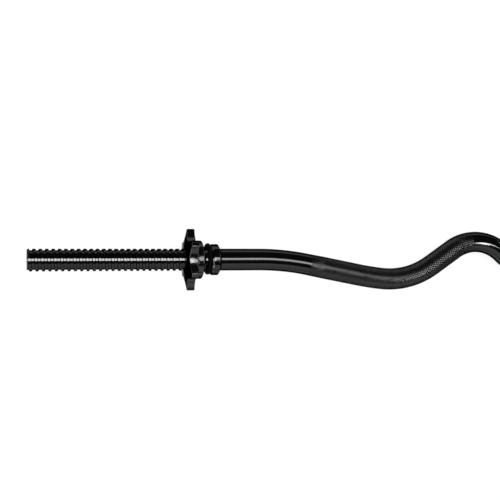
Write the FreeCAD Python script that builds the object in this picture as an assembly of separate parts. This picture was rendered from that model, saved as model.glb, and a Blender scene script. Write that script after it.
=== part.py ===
"""EZ curl bar with threaded ends, pressed inner collars, rubber rings and star nuts. Lengths in mm.

The bar lies flat: X runs along it, its bends lie in the XY plane and Z is up. The origin is on the floor
under the bar's middle. The right-hand end is the left-hand end turned half round about Y. The bar is one
piece of steel, made here as a shaft and two threaded ends that meet inside the collars. The nuts' bores
are plain, with clearance over the thread.
"""

import FreeCAD, Part
import math
import os

os.makedirs("parts", exist_ok=True)

# bar
bar_length = 1200.0
bar_diameter = 25.0

# bends, from the middle outwards
dip_radius = 36.0
dip_slope = 42.0
dip_flat = 3.0
hump_radius = 54.1
inner_slope = 33.8
inner_flat = 34.4
valley_tight_radius = 96.4
valley_tight_turn = 40.1
valley_wide_radius = 360.0
outer_slope = 11.2
outer_flat = 64.7
outer_radius = 306.0
collar_straight = 45.87

# knurled grips, measured along the bar from its middle
grip_start = 78.6
grip_length = 205.0
grip_diameter = 25.7

# threaded ends, measured from the collars
sleeve_length = 204.5
end_chamfer = 1.2
thread_relief = 5.0
thread_pitch = 6.9
thread_depth = 1.65
thread_allowance = 0.05
crest_width = 1.4
flank_width = 2.1
first_crest = 0.8
helix_steps = 24

# inner collars
collar_diameter = 35.6
collar_length = 10.9
collar_edge = 1.8
collar_edge_drop = 1.1
collar_taper = 2.8
collar_lip = 0.6

# rubber rings
ring_gap = 0.3
ring_width = 5.3
ring_diameter = 35.9
ring_bore = 27.8
ring_round = 2.6
ring_offset = 0.85

# star nuts
nut_gap = 2.9
hub_diameter = 43.8
hub_length = 10.2
hub_nose = 2.6
hub_nose_drop = 6.8
star_diameter = 70.0
star_lobes = 6
star_root_thickness = 11.3
star_tip_thickness = 7.4
star_outer_drop = 3.9
scallop_radius = 19.5
scallop_circle = 88.0
lobe_round = 1.2
bore_clearance = 0.35
bore_countersink = 1.0

# sizes that follow
half_length = bar_length / 2
bar_radius = bar_diameter / 2
star_radius = star_diameter / 2
hub_radius = hub_diameter / 2
lobe_step = 2 * math.pi / star_lobes
collar_face = sleeve_length - half_length
thread_end = collar_face - thread_relief
seam = collar_face + collar_length / 2
ring_face = collar_face - ring_gap - ring_width
nut_end = ring_face - nut_gap
flange_face = nut_end - hub_length
nut_face = flange_face - star_root_thickness
lobe_half_angle = lobe_step / 2

origin = FreeCAD.Vector(0, 0, 0)
along = FreeCAD.Vector(1, 0, 0)
across = FreeCAD.Vector(0, 1, 0)
upward = FreeCAD.Vector(0, 0, 1)


def polar(radius, angle, x=0):
    """Point at an angle from Y towards Z round the sleeve's axis."""
    return FreeCAD.Vector(x, radius * math.cos(angle), radius * math.sin(angle))


def turned(points):
    """Solid of revolution about X from (x, radius) points."""
    corners = [FreeCAD.Vector(x, r, 0) for x, r in points]
    face = Part.Face(Part.makePolygon(corners + corners[:1]))
    return face.revolve(origin, along, 360)


def other_end(shape):
    """Copy of a left-hand piece at the right-hand end."""
    copy = shape.copy()
    copy.rotate(origin, across, 180)
    return copy


def bend_chain():
    """Right half of the bar's path as (length, signed radius) steps from the middle; a straight has radius 0."""
    valley_wide_turn = inner_slope + outer_slope - valley_tight_turn
    arcs = [
        (dip_slope, dip_radius, dip_flat),
        (-dip_slope - inner_slope, hump_radius, inner_flat),
        (valley_tight_turn, valley_tight_radius, 0),
        (valley_wide_turn, valley_wide_radius, outer_flat),
        (-outer_slope, outer_radius, 0),
    ]
    steps = []
    for turn, radius, flat in arcs:
        steps.append((radius * math.radians(abs(turn)), math.copysign(radius, turn)))
        if flat:
            steps.append((flat, 0))
    return steps


def advance(point, heading, length, radius):
    """Point and heading after one step of the path."""
    if not radius:
        move = FreeCAD.Vector(math.cos(heading), math.sin(heading), 0)
        return point + move * length, heading
    later = heading + length / radius
    move = FreeCAD.Vector(math.sin(later) - math.sin(heading), math.cos(heading) - math.cos(later), 0)
    return point + move * radius, later


def path_end():
    """End of the bends at their named sizes when they start at the origin."""
    point, heading = origin, 0
    for length, radius in bend_chain():
        point, heading = advance(point, heading, length, radius)
    return point


def bend_scale():
    """Scale that fits the bends between the middle of the bar and the straights by the collars."""
    return (-collar_face - collar_length - collar_straight) / path_end().x


def tube_step(point, heading, length, radius, tube_radius):
    """Solid of one straight or bent step."""
    direction = FreeCAD.Vector(math.cos(heading), math.sin(heading), 0)
    disc = Part.Face(Part.Wire(Part.makeCircle(tube_radius, point, direction)))
    if not radius:
        return disc.extrude(direction * length)
    centre = point + FreeCAD.Vector(-math.sin(heading), math.cos(heading), 0) * radius
    return disc.revolve(centre, upward, math.degrees(length / radius))


def half_shaft():
    """Right half of the shaft as solids end to end, from the middle to the seam in the collar."""
    scale = bend_scale()
    steps = [(length * scale, radius * scale) for length, radius in bend_chain()]
    steps.append((collar_straight + collar_length / 2, 0))
    grip = [grip_start * scale, (grip_start + grip_length) * scale]
    point, heading, done = FreeCAD.Vector(0, -path_end().y * scale, 0), 0, 0
    solids = []
    for length, radius in steps:
        marks = [mark - done for mark in grip]
        cuts = [0] + [m for m in marks if 0 < m < length] + [length]
        for low, high in zip(cuts, cuts[1:]):
            middle = done + (low + high) / 2
            gripped = grip[0] < middle < grip[1]
            tube_radius = (grip_diameter if gripped else bar_diameter) / 2
            solids.append(tube_step(point, heading, high - low, radius, tube_radius))
            point, heading = advance(point, heading, high - low, radius)
        done += length
    return solids


def shaft():
    right = half_shaft()
    left = [other_end(solid) for solid in right]
    return left[0].multiFuse(left[1:] + right).removeSplitter()


def helix(x, radius):
    """Edge of one right-hand turn that starts at x."""
    points = []
    for step in range(helix_steps + 1):
        turn = step / helix_steps
        points.append(polar(radius, 2 * math.pi * turn, x + thread_pitch * turn))
    curve = Part.BSplineCurve()
    curve.interpolate(points)
    return curve.toShape()


def screw():
    """Threaded rod that overruns the left-hand thread at both ends, with a step in each end face."""
    crest = bar_radius - thread_allowance
    root = bar_radius - thread_depth
    middle = first_crest - half_length - 2 * thread_pitch
    start = middle - thread_pitch / 2
    half_crest = crest_width / 2
    half_foot = half_crest + flank_width
    turns = math.ceil((thread_end - start) / thread_pitch) + 1
    profile = [
        (start, root),
        (middle - half_foot, root),
        (middle - half_crest, crest),
        (middle + half_crest, crest),
        (middle + half_foot, root),
        (start + thread_pitch, root),
    ]
    edges = [helix(x, radius) for x, radius in profile]
    strips = [Part.makeRuledSurface(low, high) for low, high in zip(edges, edges[1:])]
    faces = []
    for turn in range(turns):
        for strip in strips:
            faces.append(strip.translated(along * (thread_pitch * turn)))
    axis = Part.makeLine(along * start, along * (start + thread_pitch))
    stair = Part.makeRuledSurface(axis, edges[0])
    rungs = [along * start] + [polar(radius, 0, x) for x, radius in profile] + [along * (start + thread_pitch)]
    riser = Part.Face(Part.makePolygon(rungs + rungs[:1]))
    for cap in (stair, riser):
        faces.append(cap)
        faces.append(cap.translated(along * (thread_pitch * turns)))
    shell = Part.Shell(faces)
    shell.sewShape()
    rod = Part.Solid(shell)
    if rod.Volume < 0:
        rod.reverse()
    return rod


def threaded_end():
    """Left-hand end of the bar: thread with a chamfered tip, then plain to the seam in the collar."""
    beyond = bar_radius + thread_pitch
    trim = turned([
        (-half_length, 0),
        (-half_length, bar_radius - end_chamfer),
        (end_chamfer + thread_pitch - half_length, beyond),
        (thread_end, beyond),
        (thread_end, 0),
    ])
    plain = turned([
        (thread_end, 0),
        (thread_end, bar_radius),
        (seam, bar_radius),
        (seam, 0),
    ])
    return screw().common(trim).fuse(plain)


def inner_collar():
    radius = collar_diameter / 2
    end = collar_face + collar_length
    return turned([
        (collar_face, bar_radius),
        (collar_face, radius - collar_edge_drop),
        (collar_face + collar_edge, radius),
        (end - collar_taper, radius),
        (end, bar_radius + collar_lip),
        (end, bar_radius),
    ])


def rubber_ring():
    base = FreeCAD.Vector(ring_face, ring_offset, 0)
    blank = Part.makeCylinder(ring_diameter / 2, ring_width, base, along)
    rims = [edge for edge in blank.Edges if edge.Closed]
    rounded = blank.makeFillet(ring_round, rims)
    return rounded.cut(Part.makeCylinder(ring_bore / 2, ring_width, base, along))


def arc(first, middle, last):
    return Part.Arc(first, middle, last).toShape()


def star_outline(x):
    """Closed outline of the star: rounded lobes on the tip circle with a scallop between each pair."""
    centre_radius = scallop_circle / 2
    inset = star_radius - lobe_round
    reach = scallop_radius + lobe_round
    cosine = (inset ** 2 + centre_radius ** 2 - reach ** 2) / (2 * inset * centre_radius)
    spread = math.acos(cosine)
    edges = []
    for lobe in range(star_lobes):
        gap = lobe * lobe_step + lobe_half_angle
        scallop = polar(centre_radius, gap, x)
        before = polar(inset, gap - spread, x)
        after = polar(inset, gap + spread, x)
        deep = polar(centre_radius - scallop_radius, gap, x)
        onto = []
        for corner in (before, after):
            onto.append(scallop + (corner - scallop) * (scallop_radius / reach))
        tip_before = polar(star_radius, gap - spread, x)
        tip_after = polar(star_radius, gap + spread, x)
        next_tip = polar(star_radius, gap + lobe_step - spread, x)
        edges.append(arc(tip_before, bulge(before, tip_before, onto[0]), onto[0]))
        edges.append(arc(onto[0], deep, onto[1]))
        edges.append(arc(onto[1], bulge(after, onto[1], tip_after), tip_after))
        edges.append(arc(tip_after, polar(star_radius, gap + lobe_half_angle, x), next_tip))
    return Part.Face(Part.Wire(edges))


def bulge(corner, first, last):
    """Middle point of a lobe's rounded corner."""
    mean = (first + last) * 0.5 - corner
    return corner + mean * (lobe_round / mean.Length)


def star_nut():
    tip_face = nut_face + star_outer_drop
    back_face = tip_face + star_tip_thickness
    bore = bar_radius + bore_clearance
    bore_rim = bore + bore_countersink
    outer_slant = (tip_face - nut_face) / (star_radius - bore_rim)
    back_slant = (flange_face - back_face) / (star_radius - hub_radius)
    beyond = star_radius + lobe_round
    flange = turned([
        (nut_face, 0),
        (nut_face, bore_rim),
        (tip_face + outer_slant * lobe_round, beyond),
        (back_face - back_slant * lobe_round, beyond),
        (flange_face, hub_radius),
        (flange_face, 0),
    ])
    prism = star_outline(nut_face).extrude(along * star_root_thickness)
    hub = turned([
        (flange_face - star_tip_thickness, 0),
        (flange_face - star_tip_thickness, hub_radius),
        (nut_end - hub_nose, hub_radius),
        (nut_end, hub_radius - hub_nose_drop),
        (nut_end, 0),
    ])
    blank = flange.common(prism).fuse(hub)
    return blank.cut(turned([
        (nut_face, 0),
        (nut_face, bore_rim),
        (nut_face + bore_countersink, bore),
        (nut_end - bore_countersink, bore),
        (nut_end, bore_rim),
        (nut_end, 0),
    ]))


def build():
    nut = star_nut()
    lift = upward * -nut.optimalBoundingBox().ZMin
    pieces = {
        "shaft": shaft(),
        "left_threaded_end": threaded_end(),
        "left_inner_collar": inner_collar(),
        "left_rubber_ring": rubber_ring(),
        "left_star_nut": nut,
    }
    for name in list(pieces):
        if name.startswith("left_"):
            pieces[name.replace("left_", "right_")] = other_end(pieces[name])
    for name, shape in pieces.items():
        shape.translate(lift)
        shape.exportStep("parts/" + name + ".step")


build()
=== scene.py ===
"""Looks of a threaded ez curl bar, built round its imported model. Sizes are in metres.

The bar lies flat on the lobes of its star nuts: X runs along it, its bends lie in the XY plane and Z is up.
Pieces are made for the left-hand end round the X axis. The right-hand ones are those turned half round Y.
"""

import math
from collections import namedtuple

import bmesh
import bpy
from mathutils import Matrix, Vector


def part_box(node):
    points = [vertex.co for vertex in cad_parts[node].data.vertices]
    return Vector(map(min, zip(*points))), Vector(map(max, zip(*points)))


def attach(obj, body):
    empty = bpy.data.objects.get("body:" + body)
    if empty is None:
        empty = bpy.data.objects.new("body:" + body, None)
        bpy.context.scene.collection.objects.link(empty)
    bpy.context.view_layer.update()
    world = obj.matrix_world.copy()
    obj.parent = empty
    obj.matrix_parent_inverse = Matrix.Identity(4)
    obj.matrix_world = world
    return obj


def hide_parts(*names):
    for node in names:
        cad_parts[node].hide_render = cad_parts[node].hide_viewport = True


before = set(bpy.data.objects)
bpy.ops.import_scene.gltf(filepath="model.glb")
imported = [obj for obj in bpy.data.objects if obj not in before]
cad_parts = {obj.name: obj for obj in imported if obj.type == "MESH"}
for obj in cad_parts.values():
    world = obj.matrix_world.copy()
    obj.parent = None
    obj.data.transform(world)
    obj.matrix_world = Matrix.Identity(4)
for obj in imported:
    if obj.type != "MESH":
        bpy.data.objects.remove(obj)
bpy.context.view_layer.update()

bl_info = {
    "name": "Threaded Curl Bar",
    "version": (1, 0, 0),
    "blender": (4, 5, 0),
    "location": "3D View > Sidebar > Curl Bar",
    "description": "Bent bar with knurled grips, threaded ends, pressed collars, rubber rings and star nuts",
    "category": "Add Mesh",
}

END_LOW, END_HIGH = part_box("left_threaded_end")
COLLAR_LOW, COLLAR_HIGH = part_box("left_inner_collar")
RING_LOW, RING_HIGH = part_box("left_rubber_ring")
NUT_LOW, NUT_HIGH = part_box("left_star_nut")
AXIS_HEIGHT = (END_LOW.z + END_HIGH.z) / 2
BAR_RADIUS = (END_HIGH.y - END_LOW.y) / 2
STAR_RADIUS = (NUT_HIGH.y - NUT_LOW.y) / 2
SIDES = ("left", "right")
MILLIMETRES_PER_METRE = 1000

# material slots of the shaft: plain steel, knurl tops painted lighter than the steel as a sheen, and knurl
# grooves painted near black as shade
SMOOTH, SHEEN_TOP, SHADED_GROOVE = range(3)

# points closer than this are one, and edges that turn by more than this angle are sharp
SAME_SPOT = 1e-6
SHARP_ANGLE = math.radians(40)

# steps of a rounded corner, of a thread's flank and of the star's rounded edges
CORNER_STEPS = 5
FLANK_STEPS = 6
EDGE_STEPS = 6

# turns of a thread that are laid past each end before it is cut
SPARE_TURNS = 2

# points along the parts of a lobe's outline
TIP_POINTS = 8
LOBE_CORNER_POINTS = 6
SCALLOP_POINTS = 20

# shares of the way at which points lie on the star's outer face, from the bore to the edge,
# and on its back, from the edge to the hub
OUTER_FACE_SHARES = (0.2, 0.4, 0.6, 0.8)
BACK_FACE_SHARES = (0.35, 0.7)

# roundings of the ring's bore and of the nose's end, as parts of the ring's and the hub's own
RING_BORE_SHARE = 1 / 6
NOSE_END_SHARE = 1 / 3

# width of the camera's picture area, in millimetres
SENSOR_WIDTH = 36

# lamps: name, the setting with its radiance, size in metres, place, and the point that it looks at
Lamp = namedtuple("Lamp", "name level size place target")
LAMPS = (
    Lamp("far_strip", "far", (2.2, 0.56), (-1.95, 0.04, 1.5), (-1.95, 0, 0.03)),
    Lamp("left_strip", "key", (0.75, 0.62), (-0.475, 0.08, 1.5), (-0.475, 0, 0.03)),
    Lamp("middle_strip", "middle", (0.40, 0.5), (0.1, 0.18, 1.5), (0.1, 0, 0.03)),
    Lamp("inner_strip", "inner", (0.17, 0.5), (0.385, 0.18, 1.5), (0.385, 0, 0.03)),
    Lamp("hump_lamp", "spot", (0.12, 0.5), (0.69, -0.42, 1.5), (0.69, -0.42, 0.03)),
    Lamp("left_panel", "side", (3.2, 2.0), (-3.0, -1.4, 1.2), (0, -1.4, 1.2)),
    Lamp("right_panel", "side", (2.5, 1.3), (2.6, 0.75, 0.85), (0, 0.75, 0.85)),
    Lamp("low_fill", "fill", (4.0, 1.5), (-0.2, -1.5, 1.0), (-0.2, 0, 1.0)),
)

# looks of the finishes: scales of clouds and grain, spread of roughness, lightest tone, bump and reflection
PLATING = {
    "cloud_scale": 70, "grain_scale": 2500, "variation": 0.03, "lighter": 1.25,
    "bump": 0.06, "bump_depth": 0.0001, "metallic": 1, "rim": 0, "mirror": 0.5,
}
COLLAR_PLATING = {**PLATING, "rim": 0.08}
KNURLING = {
    "cloud_scale": 120, "grain_scale": 3000, "variation": 0.06, "lighter": 1.5,
    "bump": 0.15, "bump_depth": 0.0001, "metallic": 1, "rim": 0, "mirror": 0.5,
}
ENAMEL = {
    "cloud_scale": 90, "grain_scale": 650, "variation": 0.06, "lighter": 1.6,
    "bump": 0.3, "bump_depth": 0.0004, "metallic": 1, "rim": 0, "mirror": 0.5,
}
RUBBER = {
    "cloud_scale": 150, "grain_scale": 2200, "variation": 0.08, "lighter": 1.6,
    "bump": 0.25, "bump_depth": 0.0002, "metallic": 0, "rim": 0.6, "mirror": 0.02,
}


def length(name, description, millimetres):
    """Length property with its default in millimetres."""
    return bpy.props.FloatProperty(
        name=name,
        description=description,
        default=millimetres / MILLIMETRES_PER_METRE,
        unit="LENGTH",
        subtype="DISTANCE",
        precision=5,
    )


def angle(name, description, degrees):
    """Angle property with its default in degrees."""
    return bpy.props.FloatProperty(
        name=name,
        description=description,
        default=math.radians(degrees),
        unit="ROTATION",
        subtype="ANGLE",
    )


def share(name, description, default):
    """Property between nothing and all."""
    return bpy.props.FloatProperty(
        name=name, description=description, default=default, min=0, max=1, subtype="FACTOR"
    )


def strength(name, description, default):
    """Property for a light's or a shader's plain value."""
    return bpy.props.FloatProperty(name=name, description=description, default=default, min=0)


def count(name, description, default):
    """Whole number property."""
    return bpy.props.IntProperty(name=name, description=description, default=default, min=1)


def colour(name, description, default):
    """Colour property."""
    return bpy.props.FloatVectorProperty(
        name=name, description=description, default=default, size=3, min=0, max=1, subtype="COLOR"
    )


def settings_group(kind, name, description):
    """Property that holds a group of others."""
    return bpy.props.PointerProperty(type=kind, name=name, description=description)


class CURLBAR_PG_bends(bpy.types.PropertyGroup):
    """Bends of the bar's right half from the middle outwards."""

    dip_radius: length("Dip Radius", "Radius of the bend in the middle", 36.0)
    dip_angle: angle("Dip Angle", "Slope where the middle bend ends", 42.0)
    dip_flat: length("Dip Flat", "Straight between the middle bend and the hump", 3.0)
    hump_radius: length("Hump Radius", "Radius of the hump beside the middle", 54.1)
    inner_angle: angle("Inner Angle", "Slope of the inner grip", 33.8)
    inner_flat: length("Inner Flat", "Straight of the inner grip", 34.4)
    tight_radius: length("Tight Radius", "Radius of the valley's inner part", 96.4)
    tight_angle: angle("Tight Angle", "Turn of the valley's inner part", 40.1)
    wide_radius: length("Wide Radius", "Radius of the valley's outer part", 360.0)
    outer_angle: angle("Outer Angle", "Slope beyond the valley", 11.2)
    outer_flat: length("Outer Flat", "Straight beyond the valley", 64.7)
    outer_radius: length("Outer Radius", "Radius of the last bend before the collar", 306.0)
    row_step: length("Row Step", "Distance between the rings of the smooth lengths", 2.0)


class CURLBAR_PG_knurl(bpy.types.PropertyGroup):
    """Diamond knurl of the grips."""

    start: length("Start", "Distance of the knurl from the bar's middle, along the bar", 76.0)
    reach: length("Length", "Length of the knurl along the bar with its run-outs", 222.0)
    around: count("Diamonds Around", "Diamonds round the bar", 27)
    pitch: length("Pitch", "Length of a diamond along the bar", 4.0)
    runout: length("Run-out", "Length over which the knurl fades out at each end", 20.0)
    rise: length("Rise", "Height of the diamonds over the bar", 0.27)
    groove: length("Groove", "Depth of the grooves under the bar's surface", 0.11)
    top: share("Flat Top", "Share of a diamond that is flat on top", 0.66)


class CURLBAR_PG_thread(bpy.types.PropertyGroup):
    """Coarse rolled thread of the ends and nuts."""

    pitch: length("Pitch", "Travel of a nut in one turn", 6.9)
    depth: length("Depth", "Depth of the groove", 1.65)
    crest: length("Crest", "Width of the crest", 2.6)
    flank: length("Flank", "Width of a flank along the bar", 0.75)
    first: length("First Crest", "Distance of the first crest from the end's tip, on the top side", 0.8)
    runout: length("Run-out", "Length over which the groove fades out", 6.0)
    plain: length("Plain", "Smooth length beside the collar", 3.0)
    clearance: length("Clearance", "Gap between the bar's thread and the nut's", 0.35)
    columns: count("Columns", "Points round the thread", 80)
    chamfer: length("Chamfer", "Bevel of the bar's tip", 1.2)


class CURLBAR_PG_fittings(bpy.types.PropertyGroup):
    """Collars, rubber rings and star nuts."""

    collar_edge: length("Collar Edge", "Length of the bevel of the collar's outer face", 1.8)
    collar_drop: length("Collar Drop", "Radius that the collar loses at that bevel", 1.1)
    collar_taper: length("Collar Taper", "Length of the collar's taper down to the bar", 2.8)
    collar_lip: length("Collar Lip", "Height of the collar where its taper ends", 0.6)
    ring_bore: length("Ring Bore", "Inner radius of the rubber ring", 13.9)
    ring_round: length("Ring Round", "Rounding of the rubber ring's rims", 2.6)
    hub_radius: length("Hub Radius", "Radius of the nut's hub", 21.9)
    hub_length: length("Hub Length", "Length of the hub behind the star", 10.2)
    hub_nose: length("Hub Nose", "Length of the hub's sloping nose", 2.6)
    hub_drop: length("Hub Drop", "Radius that the hub loses at its nose", 6.8)
    hub_round: length("Hub Round", "Rounding of the nose's shoulder", 1.2)
    lobes: count("Lobes", "Lobes of the star", 6)
    tip_thickness: length("Tip Thickness", "Thickness of the star at its tips", 8.4)
    outer_drop: length("Outer Drop", "How far the star's outer face slopes back to its tips", 3.1)
    scallop_radius: length("Scallop Radius", "Radius of the scallops between the lobes", 19.5)
    scallop_circle: length("Scallop Circle", "Radius on which the scallops are centred", 44.0)
    lobe_round: length("Lobe Round", "Rounding of the lobes' corners", 1.2)
    edge_round: length("Edge Round", "Rounding of the star's edges", 0.9)
    root_round: length("Root Round", "Rounding where the star meets the hub", 1.6)
    countersink: length("Countersink", "Bevel of the nut's bore", 1.0)
    ledge: length("Ledge", "Width of the step between that bevel and the nut's thread", 0.1)
    segments: count("Segments", "Points round a turned piece", 144)


class CURLBAR_PG_finish(bpy.types.PropertyGroup):
    """Colours and roughness of the finishes."""

    steel: colour("Steel", "Colour of the black plated bar", (0.041, 0.041, 0.042))
    steel_roughness: share("Steel Roughness", "Roughness of the plated bar", 0.09)
    # the tops' colour is the bar's steel painted lighter as a sheen
    knurl: colour("Knurl", "Colour of the rubbed tops of the knurl", (0.06, 0.06, 0.061))
    knurl_roughness: share("Knurl Roughness", "Roughness of the knurl's tops", 0.28)
    # the grooves' colour is the bar's steel painted near black as shade in the recesses
    groove: colour("Groove", "Colour of the knurl's grooves", (0.007, 0.007, 0.007))
    groove_roughness: share("Groove Roughness", "Roughness of the knurl's grooves", 0.35)
    casting: colour("Casting", "Colour of the enamelled nuts", (0.043, 0.043, 0.044))
    casting_roughness: share("Casting Roughness", "Roughness of the enamelled nuts", 0.14)
    rubber: colour("Rubber", "Colour of the rubber rings", (0.0012, 0.0012, 0.0012))
    rubber_roughness: share("Rubber Roughness", "Roughness of the rubber rings", 0.7)


class CURLBAR_PG_stage(bpy.types.PropertyGroup):
    """Camera, lamps and floor."""

    camera: bpy.props.FloatVectorProperty(
        name="Camera",
        description="Place of the camera",
        default=(-0.6438, 0.0110, 1.1463),
        size=3,
        unit="LENGTH",
        subtype="TRANSLATION",
    )
    turn: angle("Turn", "How far the camera is turned towards the right-hand end", 14.84)
    lens: bpy.props.FloatProperty(
        name="Lens", description="Focal length in millimetres", default=72.0, unit="CAMERA"
    )
    floor: colour("Floor", "Colour of the floor", (0.9, 0.9, 0.9))
    floor_size: length("Floor Size", "Side of the floor", 12000.0)
    floor_glow: share("Floor Glow", "Share of the floor's look that is plain white", 0.85)
    key: strength("Key", "Radiance of the strip over the threaded end", 14.5)
    far: strength("Far", "Radiance of the strip beyond the threaded end", 5.6)
    middle: strength("Middle", "Radiance of the strip over the bar's middle", 6.6)
    inner: strength("Inner", "Radiance of the strip that the left grip mirrors", 5.6)
    spot: strength("Spot", "Radiance of the small lamp that the left hump mirrors", 29.0)
    side: strength("Side", "Radiance of the upright panels beyond the ends", 3.6)
    fill: strength("Fill", "Radiance of the upright fill in front of the bar", 0.8)
    sky: strength("Sky", "Radiance of the upper surroundings", 0.05)
    band_low: angle("Band Low", "Height over the horizon up to which the surroundings are white", 0.5)
    band_high: angle("Band High", "Height over the horizon from which they are as dim as the sky", 4.0)


class CURLBAR_PG_settings(bpy.types.PropertyGroup):
    """All settings of the curl bar."""

    bends: settings_group(CURLBAR_PG_bends, "Bends", "Bends of the bar")
    knurl: settings_group(CURLBAR_PG_knurl, "Knurl", "Knurl of the grips")
    thread: settings_group(CURLBAR_PG_thread, "Thread", "Thread of the ends and nuts")
    fittings: settings_group(CURLBAR_PG_fittings, "Fittings", "Collars, rings and nuts")
    finish: settings_group(CURLBAR_PG_finish, "Finish", "Colours and roughness")
    stage: settings_group(CURLBAR_PG_stage, "Stage", "Camera, lamps and floor")


class Skin:
    """Points and faces of a piece in the making, with each face's material and smoothness."""

    def __init__(self):
        self.points = []
        self.faces = []
        self.finishes = []
        self.smooth = []

    def row(self, points):
        """Adds points and gives their numbers."""
        first = len(self.points)
        self.points.extend(points)
        return list(range(first, len(self.points)))

    def face(self, corners, finish=SMOOTH, smooth=True):
        """Adds one face."""
        self.faces.append(corners)
        self.finishes.append(finish)
        self.smooth.append(smooth)

    def bridge(self, first, second):
        """Closed band of quads between two rows of as many points."""
        for here, there in zip(range(len(first)), [*range(1, len(first)), 0]):
            self.face((first[here], first[there], second[there], second[here]))

    def mesh(self, name):
        """Mesh of the points and faces."""
        mesh = bpy.data.meshes.new(name)
        mesh.from_pydata(self.points, [], self.faces)
        mesh.polygons.foreach_set("material_index", self.finishes)
        mesh.polygons.foreach_set("use_smooth", self.smooth)
        mesh.update()
        return mesh


def place_piece(name, mesh, materials, body, node):
    """Object of a finished mesh with sharp corners, which rides on a body and stands for a node."""
    for material in materials:
        mesh.materials.append(material)
    mesh.set_sharp_from_angle(angle=SHARP_ANGLE)
    piece = bpy.data.objects.new(name, mesh)
    bpy.context.scene.collection.objects.link(piece)
    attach(piece, body)
    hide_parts(node)


def place_pair(name, mesh, materials, bodies):
    """Left-hand piece from a mesh round the X axis, and the right-hand one turned half round Y."""
    lift = Matrix.Translation((0, 0, AXIS_HEIGHT))
    other_end = Matrix.Rotation(math.pi, 4, "Y")
    for side, body, turn in zip(SIDES, bodies, (Matrix.Identity(4), other_end)):
        node = side + "_" + name
        copy = mesh.copy()
        copy.name = node
        copy.transform(lift @ turn)
        place_piece(node + "_look", copy, materials, body, node)
    bpy.data.meshes.remove(mesh)


def turn_outwards(mesh):
    """Makes every face look out of its solid."""
    solid = bmesh.new()
    solid.from_mesh(mesh)
    bmesh.ops.recalc_face_normals(solid, faces=solid.faces[:])
    solid.to_mesh(mesh)
    solid.free()
    return mesh


def ring_points(x, radius, number, centre_y=0):
    """Circle of points round the X axis."""
    turns = [math.tau * n / number for n in range(number)]
    return [(x, centre_y + radius * math.cos(a), radius * math.sin(a)) for a in turns]


def rounded(corners):
    """Closed profile with each (x, radius, rounding) corner rounded by an arc."""
    profile = []
    for n, (x, r, rounding) in enumerate(corners):
        here = Vector((x, r))
        if not rounding:
            profile.append(here)
            continue
        before = (Vector(corners[n - 1][:2]) - here).normalized()
        after = (Vector(corners[(n + 1) % len(corners)][:2]) - here).normalized()
        half = before.angle(after) / 2
        reach = rounding / math.tan(half)
        centre = here + (before + after).normalized() * (rounding / math.sin(half))
        start, end = here + before * reach - centre, here + after * reach - centre
        for step in range(CORNER_STEPS + 1):
            profile.append(centre + start.slerp(end, step / CORNER_STEPS) * rounding)
    return profile


def turned_mesh(name, corners, segments, centre_y=0):
    """Mesh of a closed, rounded profile turned round the X axis."""
    skin = Skin()
    rows = [skin.row(ring_points(x, r, segments, centre_y)) for x, r in rounded(corners)]
    for first, second in zip(rows, rows[1:] + rows[:1]):
        skin.bridge(first, second)
    return turn_outwards(skin.mesh(name))


def bend_steps(bends):
    """Path of the bar's right half from the middle, as (length, signed radius) steps.

    A straight step has radius 0.
    """
    wide_angle = bends.inner_angle + bends.outer_angle - bends.tight_angle
    arcs = [
        (bends.dip_angle, bends.dip_radius, bends.dip_flat),
        (-bends.dip_angle - bends.inner_angle, bends.hump_radius, bends.inner_flat),
        (bends.tight_angle, bends.tight_radius, 0),
        (wide_angle, bends.wide_radius, bends.outer_flat),
        (-bends.outer_angle, bends.outer_radius, 0),
    ]
    steps = []
    for turn, radius, flat in arcs:
        steps.append((radius * abs(turn), math.copysign(radius, turn)))
        if flat:
            steps.append((flat, 0))
    return steps


def walk(steps, distance):
    """Point and heading at a distance along the steps, which go on straight at their end."""
    x = y = heading = 0
    for run, radius in [*steps, (math.inf, 0)]:
        part = min(run, distance)
        if radius:
            later = heading + part / radius
            x += radius * (math.sin(later) - math.sin(heading))
            y += radius * (math.cos(heading) - math.cos(later))
            heading = later
        else:
            x += part * math.cos(heading)
            y += part * math.sin(heading)
        distance -= part
        if not distance:
            break
    return x, y, heading


class BarPath:
    """Centre line of the whole bar, by the signed distance from its middle."""

    def __init__(self, bends):
        self.steps = bend_steps(bends)
        self.bent = sum(run for run, _ in self.steps)
        self.end_x, self.end_y, _ = walk(self.steps, self.bent)

    def station_at(self, x):
        """Distance along the bar of a place on its straight end."""
        return self.bent + x - self.end_x

    def point(self, station, turn, radius):
        """Point of the bar's surface at a turn from the bends' plane upwards."""
        x, y, heading = walk(self.steps, abs(station))
        side = math.copysign(1, station)
        across = Vector((-math.sin(heading) * side, math.cos(heading), 0))
        centre = Vector((x * side, y - self.end_y, AXIS_HEIGHT))
        return centre + (across * math.cos(turn) + Vector((0, 0, math.sin(turn)))) * radius


def shaft_mesh(settings):
    """Bent shaft from collar to collar, with smooth lengths and two knurled grips."""
    path, knurl = BarPath(settings.bends), settings.knurl
    columns = 2 * knurl.around
    turns = [math.tau * n / columns for n in range(columns)]
    seam = path.station_at(-END_HIGH.x)
    marks = [-seam, -knurl.start - knurl.reach, -knurl.start, knurl.start, knurl.start + knurl.reach, seam]
    skin = Skin()

    def ring(station):
        """Ring of points round the plain bar."""
        return skin.row([path.point(station, turn, BAR_RADIUS) for turn in turns])

    rows = [ring(marks[0])]
    skin.face(tuple(rows[0]), smooth=False)
    for part, (low, high) in enumerate(zip(marks, marks[1:])):
        if part % 2:
            rows.append(ring(high))
            knurl_band(skin, path, knurl, (low, high), rows[-2:])
            continue
        number = math.ceil((high - low) / settings.bends.row_step)
        for step in range(1, number + 1):
            rows.append(ring(low + (high - low) * step / number))
            skin.bridge(rows[-2], rows[-1])
    skin.face(tuple(rows[-1]), smooth=False)
    return turn_outwards(skin.mesh("shaft"))


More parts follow.
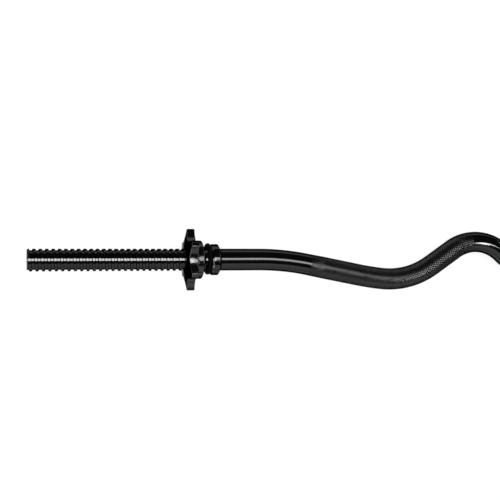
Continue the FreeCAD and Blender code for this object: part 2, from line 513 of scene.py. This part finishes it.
def knurl_band(skin, path, knurl, span, rims):
    """Flat-topped diamonds between two rings, which rise over the run-outs.

    Low corners and raised tops take turns on a grid of half diamonds.
    """
    low, high = span
    columns = len(rims[0])
    last = 2 * round((high - low) / knurl.pitch)

    def spot(row, column, rise):
        """Point at its share of a rise, which is whole between the run-outs."""
        along = (high - low) * row / last
        part = min(along, high - low - along, knurl.runout) / knurl.runout
        return path.point(low + along, math.tau * column / columns, BAR_RADIUS + rise * part)

    corner = {(row, n): rim[n] for row, rim in ((0, rims[0]), (last, rims[1])) for n in range(columns)}
    for row in range(1, last):
        spots = [n for n in range(columns) if (row + n) % 2 == 0]
        numbers = skin.row([spot(row, n, -knurl.groove) for n in spots])
        corner.update({(row, n): number for n, number in zip(spots, numbers)})
    moves = [(0, -knurl.top), (-knurl.top, 0), (0, knurl.top), (knurl.top, 0)]
    for row in range(last + 1):
        for n in range(1 - row % 2, columns, 2):
            left, right = (n - 1) % columns, (n + 1) % columns
            if row in (0, last):
                inner = corner[(1 if row == 0 else last - 1, n)]
                skin.face((corner[(row, left)], corner[(row, n)], inner))
                skin.face((corner[(row, n)], corner[(row, right)], inner))
                continue
            feet = [corner[place] for place in ((row, left), (row - 1, n), (row, right), (row + 1, n))]
            tops = skin.row([spot(row + a, n + b, knurl.rise) for a, b in moves])
            # tops take the steel painted lighter than the bar as a sheen
            skin.face(tuple(tops), SHEEN_TOP, False)
            # flanks take the steel painted near black as shade in the grooves
            for here, there in ((0, 1), (1, 2), (2, 3), (3, 0)):
                skin.face((feet[here], feet[there], tops[there], tops[here]), SHADED_GROOVE, False)


def groove_depth(thread, along):
    """Depth of the thread's groove at a distance from the middle of a crest."""
    distance = abs((along / thread.pitch + 0.5) % 1 - 0.5) * thread.pitch
    slope = min(max((distance - thread.crest / 2) / thread.flank, 0), 1)
    return thread.depth * slope * slope * (3 - 2 * slope)


def profile_places(thread):
    """Distances of a pitch's points from its crest: the crest, a flank, the root and a flank."""
    crest = thread.crest / 2
    flank = [crest + thread.flank * n / FLANK_STEPS for n in range(FLANK_STEPS + 1)]
    half = [0, crest / 2, *flank]
    return [-place for place in reversed(half[1:])] + half + [thread.pitch / 2]


def cut_across(solid, x, facing=1, clear=False):
    """Cuts a solid by a plane across X, and clears what lies beyond it if asked."""
    everything = solid.verts[:] + solid.edges[:] + solid.faces[:]
    bmesh.ops.bisect_plane(
        solid, geom=everything, plane_co=(x, 0, 0), plane_no=(facing, 0, 0), clear_outer=clear
    )


def helix_solid(thread, span, radius_at):
    """Helical tube between two planes across X, open at both, from a grid that follows the thread."""
    low, high = span
    places = profile_places(thread)
    start = END_LOW.x + thread.first
    first = math.floor((low - start) / thread.pitch) - SPARE_TURNS
    last = math.ceil((high - start) / thread.pitch) + SPARE_TURNS
    rows = [start + turn * thread.pitch + place for turn in range(first, last) for place in places]
    solid = bmesh.new()
    grid = []
    for column in range(thread.columns):
        turn = column / thread.columns
        spin = math.tau * turn
        line = []
        for row in rows:
            x = row + turn * thread.pitch
            r = radius_at(x, row - start)
            line.append(solid.verts.new((x, r * math.cos(spin), r * math.sin(spin))))
        grid.append(line)
    for column, line in enumerate(grid):
        wraps = column + 1 == thread.columns
        beside = grid[0][len(places):] if wraps else grid[column + 1]
        for n in range(min(len(line), len(beside)) - 1):
            solid.faces.new((line[n], beside[n], beside[n + 1], line[n + 1]))
    cut_across(solid, low, facing=-1, clear=True)
    cut_across(solid, high, clear=True)
    return solid


def finish_solid(solid, name):
    """Mesh of a finished solid, turned outwards and smooth all over."""
    bmesh.ops.recalc_face_normals(solid, faces=solid.faces[:])
    mesh = bpy.data.meshes.new(name)
    solid.to_mesh(mesh)
    solid.free()
    mesh.shade_smooth()
    return mesh


def threaded_end_mesh(thread):
    """Threaded end from its bevelled tip to the seam inside the collar."""
    tip, seam = END_LOW.x, END_HIGH.x
    fade_end = COLLAR_LOW.x - thread.plain

    def radius_at(x, along):
        """Radius of the thread, whose groove fades out before the collar."""
        fade = min(max((fade_end - x) / thread.runout, 0), 1)
        return BAR_RADIUS - groove_depth(thread, along) * fade

    solid = helix_solid(thread, (tip, seam), radius_at)
    cut_across(solid, tip + thread.chamfer)
    for vert in solid.verts:
        limit = BAR_RADIUS - thread.chamfer + vert.co.x - tip
        radius = math.hypot(vert.co.y, vert.co.z)
        if radius > limit:
            vert.co.y *= limit / radius
            vert.co.z *= limit / radius
    rims = [edge for edge in solid.edges if edge.is_boundary]
    bmesh.ops.edgeloop_fill(solid, edges=rims)
    return finish_solid(solid, "threaded_end")


def polar(radius, turn):
    """Point across the bar's axis, at a turn from Y to Z."""
    return Vector((radius * math.cos(turn), radius * math.sin(turn)))


def turn_near(way, target):
    """Turn of a direction, with the whole turns that bring it next to a target."""
    turn = math.atan2(way.y, way.x)
    return turn + math.tau * round((target - turn) / math.tau)


def star_outline(fittings, inset):
    """Points of the star's outline moved inwards: for each lobe a tip, a corner, a scallop and a corner."""
    step = math.tau / fittings.lobes
    corner_circle = STAR_RADIUS - fittings.lobe_round
    corner_radius = fittings.lobe_round - inset
    reach = fittings.scallop_radius + fittings.lobe_round
    squares = corner_circle ** 2 + fittings.scallop_circle ** 2 - reach ** 2
    tip_half = step / 2 - math.acos(squares / (2 * corner_circle * fittings.scallop_circle))
    outline = []

    def arc(centre, radius, start, end, points):
        """Adds an arc without its last point."""
        for n in range(points):
            outline.append(centre + polar(radius, start + (end - start) * n / points))

    for lobe in range(fittings.lobes):
        tip = lobe * step
        leave, arrive = tip + tip_half, tip + step - tip_half
        scallop = polar(fittings.scallop_circle, tip + step / 2)
        corner = polar(corner_circle, leave)
        next_corner = polar(corner_circle, arrive)
        lean = turn_near(scallop - corner, leave + math.pi / 2)
        back = turn_near(scallop - next_corner, arrive - math.pi / 2)
        arc(Vector((0, 0)), STAR_RADIUS - inset, tip - tip_half, leave, TIP_POINTS)
        arc(corner, corner_radius, leave, lean, LOBE_CORNER_POINTS)
        arc(scallop, -fittings.scallop_radius - inset, lean, back, SCALLOP_POINTS)
        arc(next_corner, corner_radius, back, arrive, LOBE_CORNER_POINTS)
    return outline


class StarNut:
    """Rows of points over a star nut, from the outer mouth of its bore to the inner one."""

    def __init__(self, fittings, thread):
        self.fittings = fittings
        self.bore = BAR_RADIUS + thread.clearance
        self.bore_rim = self.bore + fittings.countersink
        self.mouths = (NUT_LOW.x + fittings.countersink, NUT_HIGH.x - fittings.countersink)
        self.flange = NUT_HIGH.x - fittings.hub_length
        tip_back = NUT_LOW.x + fittings.outer_drop + fittings.tip_thickness
        self.outer_slope = fittings.outer_drop / (STAR_RADIUS - self.bore_rim)
        self.back_slope = (self.flange - tip_back) / (STAR_RADIUS - fittings.hub_radius)
        self.bends = [math.pi / 2 * n / EDGE_STEPS for n in range(EDGE_STEPS + 1)]
        rim = star_outline(fittings, 0)
        runs = [(spot - rim[n - 1]).length for n, spot in enumerate(rim)]
        start = rim[0].angle_signed(Vector((1, 0)))
        self.turns = [start + math.tau * sum(runs[1:n + 1]) / sum(runs) for n in range(len(rim))]

    def outer_x(self, radius):
        """Place of the sloping outer face at a radius."""
        return NUT_LOW.x + self.outer_slope * (radius - self.bore_rim)

    def back_x(self, radius):
        """Place of the star's back at a radius."""
        return self.flange - self.back_slope * (radius - self.fittings.hub_radius)

    def circle(self, x, radius):
        """Circle of as many points as the star's outline has, spaced as they are along it."""
        return [Vector((x, *polar(radius, turn))) for turn in self.turns]

    def mouth(self, x):
        """Circle at the foot of the bore's bevel, a ledge wider than the bore."""
        return self.circle(x, self.bore + self.fittings.ledge)

    def edge(self, bend):
        """Outline at a bend of the star's rounded edge, and its drop from the face."""
        rounding = self.fittings.edge_round
        return star_outline(self.fittings, rounding * (1 - math.sin(bend))), rounding * (1 - math.cos(bend))

    def front_rows(self):
        """Rows from the bore's outer mouth over the outer face and its rounded edge."""
        inner = self.circle(NUT_LOW.x, self.bore_rim)
        shoulder = star_outline(self.fittings, self.fittings.edge_round)
        rows = [self.mouth(self.mouths[0]), inner]
        for part in OUTER_FACE_SHARES:
            spots = [near.yz.lerp(far, part) for near, far in zip(inner, shoulder)]
            rows.append([Vector((self.outer_x(spot.length), *spot)) for spot in spots])
        for bend in self.bends:
            spots, drop = self.edge(bend)
            rows.append([Vector((self.outer_x(spot.length) + drop, *spot)) for spot in spots])
        return rows

    def back_rows(self):
        """Rows over the star's back, from its rounded edge to the rounding at the hub's root."""
        hub, root = self.fittings.hub_radius, self.fittings.root_round
        rows = []
        for bend in reversed(self.bends):
            outline, drop = self.edge(bend)
            spots = [spot * max(1, hub / spot.length) for spot in outline]
            rows.append([Vector((self.back_x(spot.length) - drop, *spot)) for spot in spots])
        rim = [spot.yz for spot in rows[-1]]
        limits = [max(hub, spot.length) for spot in rim]
        foot = [spot.yz for spot in self.circle(self.flange, hub + root)]
        for part in BACK_FACE_SHARES:
            spots = [far.lerp(near, part) for far, near in zip(rim, foot)]
            spots = [spot * min(1, limit / spot.length) for spot, limit in zip(spots, limits)]
            rows.append([Vector((self.back_x(spot.length), *spot)) for spot in spots])
        for bend in self.bends:
            radius = hub + root * (1 - math.sin(bend))
            rise = root * (1 - math.cos(bend))
            spots = [polar(min(radius, limit), turn) for limit, turn in zip(limits, self.turns)]
            rows.append([Vector((self.back_x(spot.length) + rise, *spot)) for spot in spots])
        return rows

    def hub_rows(self):
        """Rows over the hub and its rounded nose to the bore's inner mouth."""
        fittings, end = self.fittings, NUT_HIGH.x
        nose = rounded([
            (self.flange + fittings.root_round, fittings.hub_radius, 0),
            (end - fittings.hub_nose, fittings.hub_radius, fittings.hub_round),
            (end, fittings.hub_radius - fittings.hub_drop, fittings.hub_round * NOSE_END_SHARE),
            (end, self.bore_rim, 0),
        ])
        return [*(self.circle(x, radius) for x, radius in nose[1:]), self.mouth(self.mouths[1])]


def take_in(solid, mesh):
    """Adds a mesh to a solid and deletes it."""
    solid.from_mesh(mesh)
    bpy.data.meshes.remove(mesh)


def star_nut_mesh(fittings, thread):
    """Scalloped star with a round hub and a threaded bore."""
    nut = StarNut(fittings, thread)
    skin = Skin()
    rows = [skin.row(line) for line in nut.front_rows() + nut.back_rows() + nut.hub_rows()]
    for first, second in zip(rows, rows[1:]):
        skin.bridge(first, second)
    solid = bmesh.new()
    take_in(solid, skin.mesh("star"))
    bmesh.ops.remove_doubles(solid, verts=solid.verts[:], dist=SAME_SPOT)
    lining = helix_solid(thread, nut.mouths, lambda x, along: nut.bore - groove_depth(thread, along))
    take_in(solid, finish_solid(lining, "bore"))
    for x in nut.mouths:
        open_edges = [edge for edge in solid.edges if edge.is_boundary]
        rims = [edge for edge in open_edges if abs(edge.verts[0].co.x - x) < SAME_SPOT]
        bmesh.ops.triangle_fill(solid, edges=rims, use_beauty=True)
    return finish_solid(solid, "star_nut")


def value_group(name, inputs, outputs):
    """New shader group with value inputs and outputs, and its two ends."""
    group = bpy.data.node_groups.new(name, "ShaderNodeTree")
    for socket, default in inputs.items():
        entry = group.interface.new_socket(socket, in_out="INPUT", socket_type="NodeSocketFloat")
        entry.default_value = default
    for socket in outputs:
        group.interface.new_socket(socket, in_out="OUTPUT", socket_type="NodeSocketFloat")
    return group, group.nodes.new("NodeGroupInput"), group.nodes.new("NodeGroupOutput")


def surface_grain():
    """Group: cloudy mask, fine grain height and roughness that varies over a finish."""
    name = "Surface Grain"
    if name in bpy.data.node_groups:
        return bpy.data.node_groups[name]
    inputs = {"Cloud Scale": 60, "Grain Scale": 900, "Roughness": 0.2, "Variation": 0.05}
    group, start, end = value_group(name, inputs, ("Cloud", "Height", "Roughness"))
    place = group.nodes.new("ShaderNodeTexCoord").outputs["Object"]
    clouds = group.nodes.new("ShaderNodeTexNoise")
    clouds.inputs["Detail"].default_value = 3
    grain = group.nodes.new("ShaderNodeTexNoise")
    grain.inputs["Detail"].default_value = 2
    for node, socket in ((clouds, "Cloud Scale"), (grain, "Grain Scale")):
        group.links.new(place, node.inputs["Vector"])
        group.links.new(start.outputs[socket], node.inputs["Scale"])
    spread = group.nodes.new("ShaderNodeMapRange")
    group.links.new(clouds.outputs["Fac"], spread.inputs["Value"])
    for operation, bound in (("SUBTRACT", "To Min"), ("ADD", "To Max")):
        node = group.nodes.new("ShaderNodeMath")
        node.operation = operation
        group.links.new(start.outputs["Roughness"], node.inputs[0])
        group.links.new(start.outputs["Variation"], node.inputs[1])
        group.links.new(node.outputs[0], spread.inputs[bound])
    group.links.new(clouds.outputs["Fac"], end.inputs["Cloud"])
    group.links.new(grain.outputs["Fac"], end.inputs["Height"])
    group.links.new(spread.outputs["Result"], end.inputs["Roughness"])
    return group


def finish_material(name, tone, roughness, look):
    """Principled material on the surface grain, with a tone that the clouds lighten a little."""
    material = bpy.data.materials.new(name)
    material.use_nodes = True
    tree = material.node_tree
    shader = tree.nodes["Principled BSDF"]
    grain = tree.nodes.new("ShaderNodeGroup")
    grain.node_tree = surface_grain()
    grain.inputs["Cloud Scale"].default_value = look["cloud_scale"]
    grain.inputs["Grain Scale"].default_value = look["grain_scale"]
    grain.inputs["Roughness"].default_value = roughness
    grain.inputs["Variation"].default_value = look["variation"]
    tint = tree.nodes.new("ShaderNodeMix")
    tint.data_type = "RGBA"
    tint.inputs["A"].default_value = (*tone, 1)
    tint.inputs["B"].default_value = (*[part * look["lighter"] for part in tone], 1)
    bump = tree.nodes.new("ShaderNodeBump")
    bump.inputs["Strength"].default_value = look["bump"]
    bump.inputs["Distance"].default_value = look["bump_depth"]
    tree.links.new(grain.outputs["Cloud"], tint.inputs["Factor"])
    tree.links.new(tint.outputs["Result"], shader.inputs["Base Color"])
    tree.links.new(grain.outputs["Roughness"], shader.inputs["Roughness"])
    tree.links.new(grain.outputs["Height"], bump.inputs["Height"])
    tree.links.new(bump.outputs["Normal"], shader.inputs["Normal"])
    shader.inputs["Metallic"].default_value = look["metallic"]
    shader.inputs["Specular Tint"].default_value = (*[look["rim"]] * 3, 1)
    shader.inputs["Specular IOR Level"].default_value = look["mirror"]
    return material


def plated_steel(finish):
    """Black plating of the bar, which stays black where it is seen edge-on."""
    return finish_material("black_plated_steel", finish.steel, finish.steel_roughness, PLATING)


def collar_steel(finish):
    """Black plating of the collars, which shine a little where they are seen edge-on."""
    return finish_material("black_collar_steel", finish.steel, finish.steel_roughness, COLLAR_PLATING)


def sheen_painted_tops(finish):
    """Tops of the knurl: the bar's steel painted lighter as a sheen."""
    return finish_material("black_knurled_steel", finish.knurl, finish.knurl_roughness, KNURLING)


def shade_painted_grooves(finish):
    """Grooves of the knurl: the bar's steel painted near black as shade in the recesses."""
    return finish_material("black_knurl_grooves_painted_shade", finish.groove, finish.groove_roughness, KNURLING)


def enamelled_casting(finish):
    """Black enamel on the cast nuts."""
    return finish_material("black_enamelled_casting", finish.casting, finish.casting_roughness, ENAMEL)


def moulded_rubber(finish):
    """Dull black rubber of the rings."""
    return finish_material("black_rubber", finish.rubber, finish.rubber_roughness, RUBBER)


class CURLBAR_OT_shaft(bpy.types.Operator):
    """Builds the bent shaft with its knurled grips"""

    bl_idname = "curl_bar.shaft"
    bl_label = "Shaft"

    def execute(self, context):
        settings = context.scene.curl_bar
        materials = [make(settings.finish) for make in (plated_steel, sheen_painted_tops, shade_painted_grooves)]
        place_piece("shaft_look", shaft_mesh(settings), materials, "bar", "shaft")
        return {"FINISHED"}


class CURLBAR_OT_threaded_ends(bpy.types.Operator):
    """Builds both threaded ends"""

    bl_idname = "curl_bar.threaded_ends"
    bl_label = "Threaded Ends"

    def execute(self, context):
        settings = context.scene.curl_bar
        mesh = threaded_end_mesh(settings.thread)
        materials = [bpy.data.materials["black_plated_steel"]]
        place_pair("threaded_end", mesh, materials, ("bar", "bar"))
        return {"FINISHED"}


class CURLBAR_OT_inner_collars(bpy.types.Operator):
    """Builds both inner collars"""

    bl_idname = "curl_bar.inner_collars"
    bl_label = "Inner Collars"

    def execute(self, context):
        settings = context.scene.curl_bar
        fittings = settings.fittings
        radius = (COLLAR_HIGH.y - COLLAR_LOW.y) / 2
        face, end = COLLAR_LOW.x, COLLAR_HIGH.x
        soft = fittings.collar_edge / 2
        mesh = turned_mesh("inner_collar", [
            (face, BAR_RADIUS, 0),
            (face, radius - fittings.collar_drop, soft / 2),
            (face + fittings.collar_edge, radius, soft),
            (end - fittings.collar_taper, radius, soft),
            (end, BAR_RADIUS + fittings.collar_lip, soft / 2),
            (end, BAR_RADIUS, 0),
        ], fittings.segments)
        materials = [collar_steel(settings.finish)]
        place_pair("inner_collar", mesh, materials, ("bar", "bar"))
        return {"FINISHED"}


class CURLBAR_OT_rubber_rings(bpy.types.Operator):
    """Builds both rubber rings"""

    bl_idname = "curl_bar.rubber_rings"
    bl_label = "Rubber Rings"

    def execute(self, context):
        settings = context.scene.curl_bar
        fittings = settings.fittings
        radius = (RING_HIGH.y - RING_LOW.y) / 2
        centre_y = (RING_HIGH.y + RING_LOW.y) / 2
        face, end = RING_LOW.x, RING_HIGH.x
        mesh = turned_mesh("rubber_ring", [
            (face, fittings.ring_bore, fittings.ring_round * RING_BORE_SHARE),
            (face, radius, fittings.ring_round),
            (end, radius, fittings.ring_round),
            (end, fittings.ring_bore, fittings.ring_round * RING_BORE_SHARE),
        ], fittings.segments, centre_y)
        materials = [moulded_rubber(settings.finish)]
        place_pair("rubber_ring", mesh, materials, ("left_ring", "right_ring"))
        return {"FINISHED"}


class CURLBAR_OT_star_nuts(bpy.types.Operator):
    """Builds both star nuts"""

    bl_idname = "curl_bar.star_nuts"
    bl_label = "Star Nuts"

    def execute(self, context):
        settings = context.scene.curl_bar
        mesh = star_nut_mesh(settings.fittings, settings.thread)
        materials = [enamelled_casting(settings.finish)]
        place_pair("star_nut", mesh, materials, ("left_nut", "right_nut"))
        return {"FINISHED"}


def add_camera(stage):
    """Camera that looks down, turned towards the right-hand end."""
    camera = bpy.data.objects.new("camera", bpy.data.cameras.new("camera"))
    camera.data.lens = stage.lens
    camera.data.sensor_width = SENSOR_WIDTH
    camera.matrix_world = Matrix.Translation(stage.camera) @ Matrix.Rotation(-stage.turn, 4, "Y")
    bpy.context.scene.collection.objects.link(camera)
    bpy.context.scene.camera = camera


def add_lamp(lamp, radiance):
    """Rectangular area lamp of an even radiance that looks at a point, with its first side level."""
    light = bpy.data.lights.new(lamp.name, "AREA")
    light.shape = "RECTANGLE"
    light.size, light.size_y = lamp.size
    light.energy = radiance * math.pi * lamp.size[0] * lamp.size[1]
    back = (Vector(lamp.place) - Vector(lamp.target)).normalized()
    side = Vector((0, 1, 0)) if round(back.x) else Vector((1, 0, 0))
    turn = Matrix((side, back.cross(side), back)).transposed().to_4x4()
    holder = bpy.data.objects.new(lamp.name, light)
    holder.matrix_world = Matrix.Translation(lamp.place) @ turn
    bpy.context.scene.collection.objects.link(holder)


def floor_material(stage):
    """Floor that shows white with a faint shadow, and that bounces light as a plain pale floor."""
    material = bpy.data.materials.new("pale_floor")
    material.use_nodes = True
    tree = material.node_tree
    paint = tree.nodes["Principled BSDF"]
    paint.inputs["Base Color"].default_value = (*stage.floor, 1)
    paint.inputs["Roughness"].default_value = 1
    glow = tree.nodes.new("ShaderNodeEmission")
    rays = tree.nodes.new("ShaderNodeLightPath")
    seen = rays.outputs["Is Camera Ray"]
    for name in ("Is Glossy Ray", "Is Transmission Ray"):
        either = tree.nodes.new("ShaderNodeMath")
        either.operation = "MAXIMUM"
        tree.links.new(seen, either.inputs[0])
        tree.links.new(rays.outputs[name], either.inputs[1])
        seen = either.outputs[0]
    part = tree.nodes.new("ShaderNodeMath")
    part.operation = "MULTIPLY"
    part.inputs[1].default_value = stage.floor_glow
    mix = tree.nodes.new("ShaderNodeMixShader")
    tree.links.new(seen, part.inputs[0])
    tree.links.new(part.outputs[0], mix.inputs["Fac"])
    tree.links.new(paint.outputs[0], mix.inputs[1])
    tree.links.new(glow.outputs[0], mix.inputs[2])
    tree.links.new(mix.outputs[0], tree.nodes["Material Output"].inputs["Surface"])
    return material


def add_floor(stage):
    """Square floor under the bar."""
    half = stage.floor_size / 2
    corners = [(-half, -half, 0), (half, -half, 0), (half, half, 0), (-half, half, 0)]
    mesh = bpy.data.meshes.new("floor")
    mesh.from_pydata(corners, [], [(0, 1, 2, 3)])
    mesh.materials.append(floor_material(stage))
    floor = bpy.data.objects.new("floor", mesh)
    bpy.context.scene.collection.objects.link(floor)


def surroundings(stage):
    """World that is white at the horizon and dim overhead."""
    world = bpy.data.worlds.new("studio")
    world.use_nodes = True
    tree = world.node_tree
    place = tree.nodes.new("ShaderNodeTexCoord")
    split = tree.nodes.new("ShaderNodeSeparateXYZ")
    height = tree.nodes.new("ShaderNodeMapRange")
    height.interpolation_type = "SMOOTHSTEP"
    height.inputs["From Min"].default_value = math.sin(stage.band_low)
    height.inputs["From Max"].default_value = math.sin(stage.band_high)
    height.inputs["To Min"].default_value = 1
    height.inputs["To Max"].default_value = stage.sky
    tree.links.new(place.outputs["Generated"], split.inputs[0])
    tree.links.new(split.outputs["Z"], height.inputs["Value"])
    tree.links.new(height.outputs[0], tree.nodes["Background"].inputs["Strength"])
    tree.nodes["Background"].inputs["Color"].default_value = (1, 1, 1, 1)
    return world


class CURLBAR_OT_stage(bpy.types.Operator):
    """Sets up the camera, the lamps, the surroundings and the floor"""

    bl_idname = "curl_bar.stage"
    bl_label = "Stage"

    def execute(self, context):
        stage = context.scene.curl_bar.stage
        context.scene.view_settings.view_transform = "Standard"
        add_camera(stage)
        add_floor(stage)
        for lamp in LAMPS:
            add_lamp(lamp, getattr(stage, lamp.level))
        context.scene.world = surroundings(stage)
        return {"FINISHED"}


class CURLBAR_PT_panel(bpy.types.Panel):
    """Lists the curl bar's operators"""

    bl_idname = "CURLBAR_PT_panel"
    bl_label = "Curl Bar"
    bl_space_type = "VIEW_3D"
    bl_region_type = "UI"
    bl_category = "Curl Bar"

    def draw(self, context):
        for operator in OPERATORS:
            self.layout.operator(operator.bl_idname)


OPERATORS = (
    CURLBAR_OT_shaft,
    CURLBAR_OT_threaded_ends,
    CURLBAR_OT_inner_collars,
    CURLBAR_OT_rubber_rings,
    CURLBAR_OT_star_nuts,
    CURLBAR_OT_stage,
)
CLASSES = (
    CURLBAR_PG_bends,
    CURLBAR_PG_knurl,
    CURLBAR_PG_thread,
    CURLBAR_PG_fittings,
    CURLBAR_PG_finish,
    CURLBAR_PG_stage,
    CURLBAR_PG_settings,
    *OPERATORS,
    CURLBAR_PT_panel,
)


def register():
    """Registers the classes and the settings."""
    for cls in CLASSES:
        bpy.utils.register_class(cls)
    bpy.types.Scene.curl_bar = settings_group(CURLBAR_PG_settings, "Curl Bar", "Settings of the curl bar")


def unregister():
    """Takes the settings and the classes off again."""
    del bpy.types.Scene.curl_bar
    for cls in reversed(CLASSES):
        bpy.utils.unregister_class(cls)


def main():
    """Builds every piece and the stage."""
    register()
    bpy.ops.curl_bar.shaft()
    bpy.ops.curl_bar.threaded_ends()
    bpy.ops.curl_bar.inner_collars()
    bpy.ops.curl_bar.rubber_rings()
    bpy.ops.curl_bar.star_nuts()
    bpy.ops.curl_bar.stage()


if __name__ == "__main__":
    main()
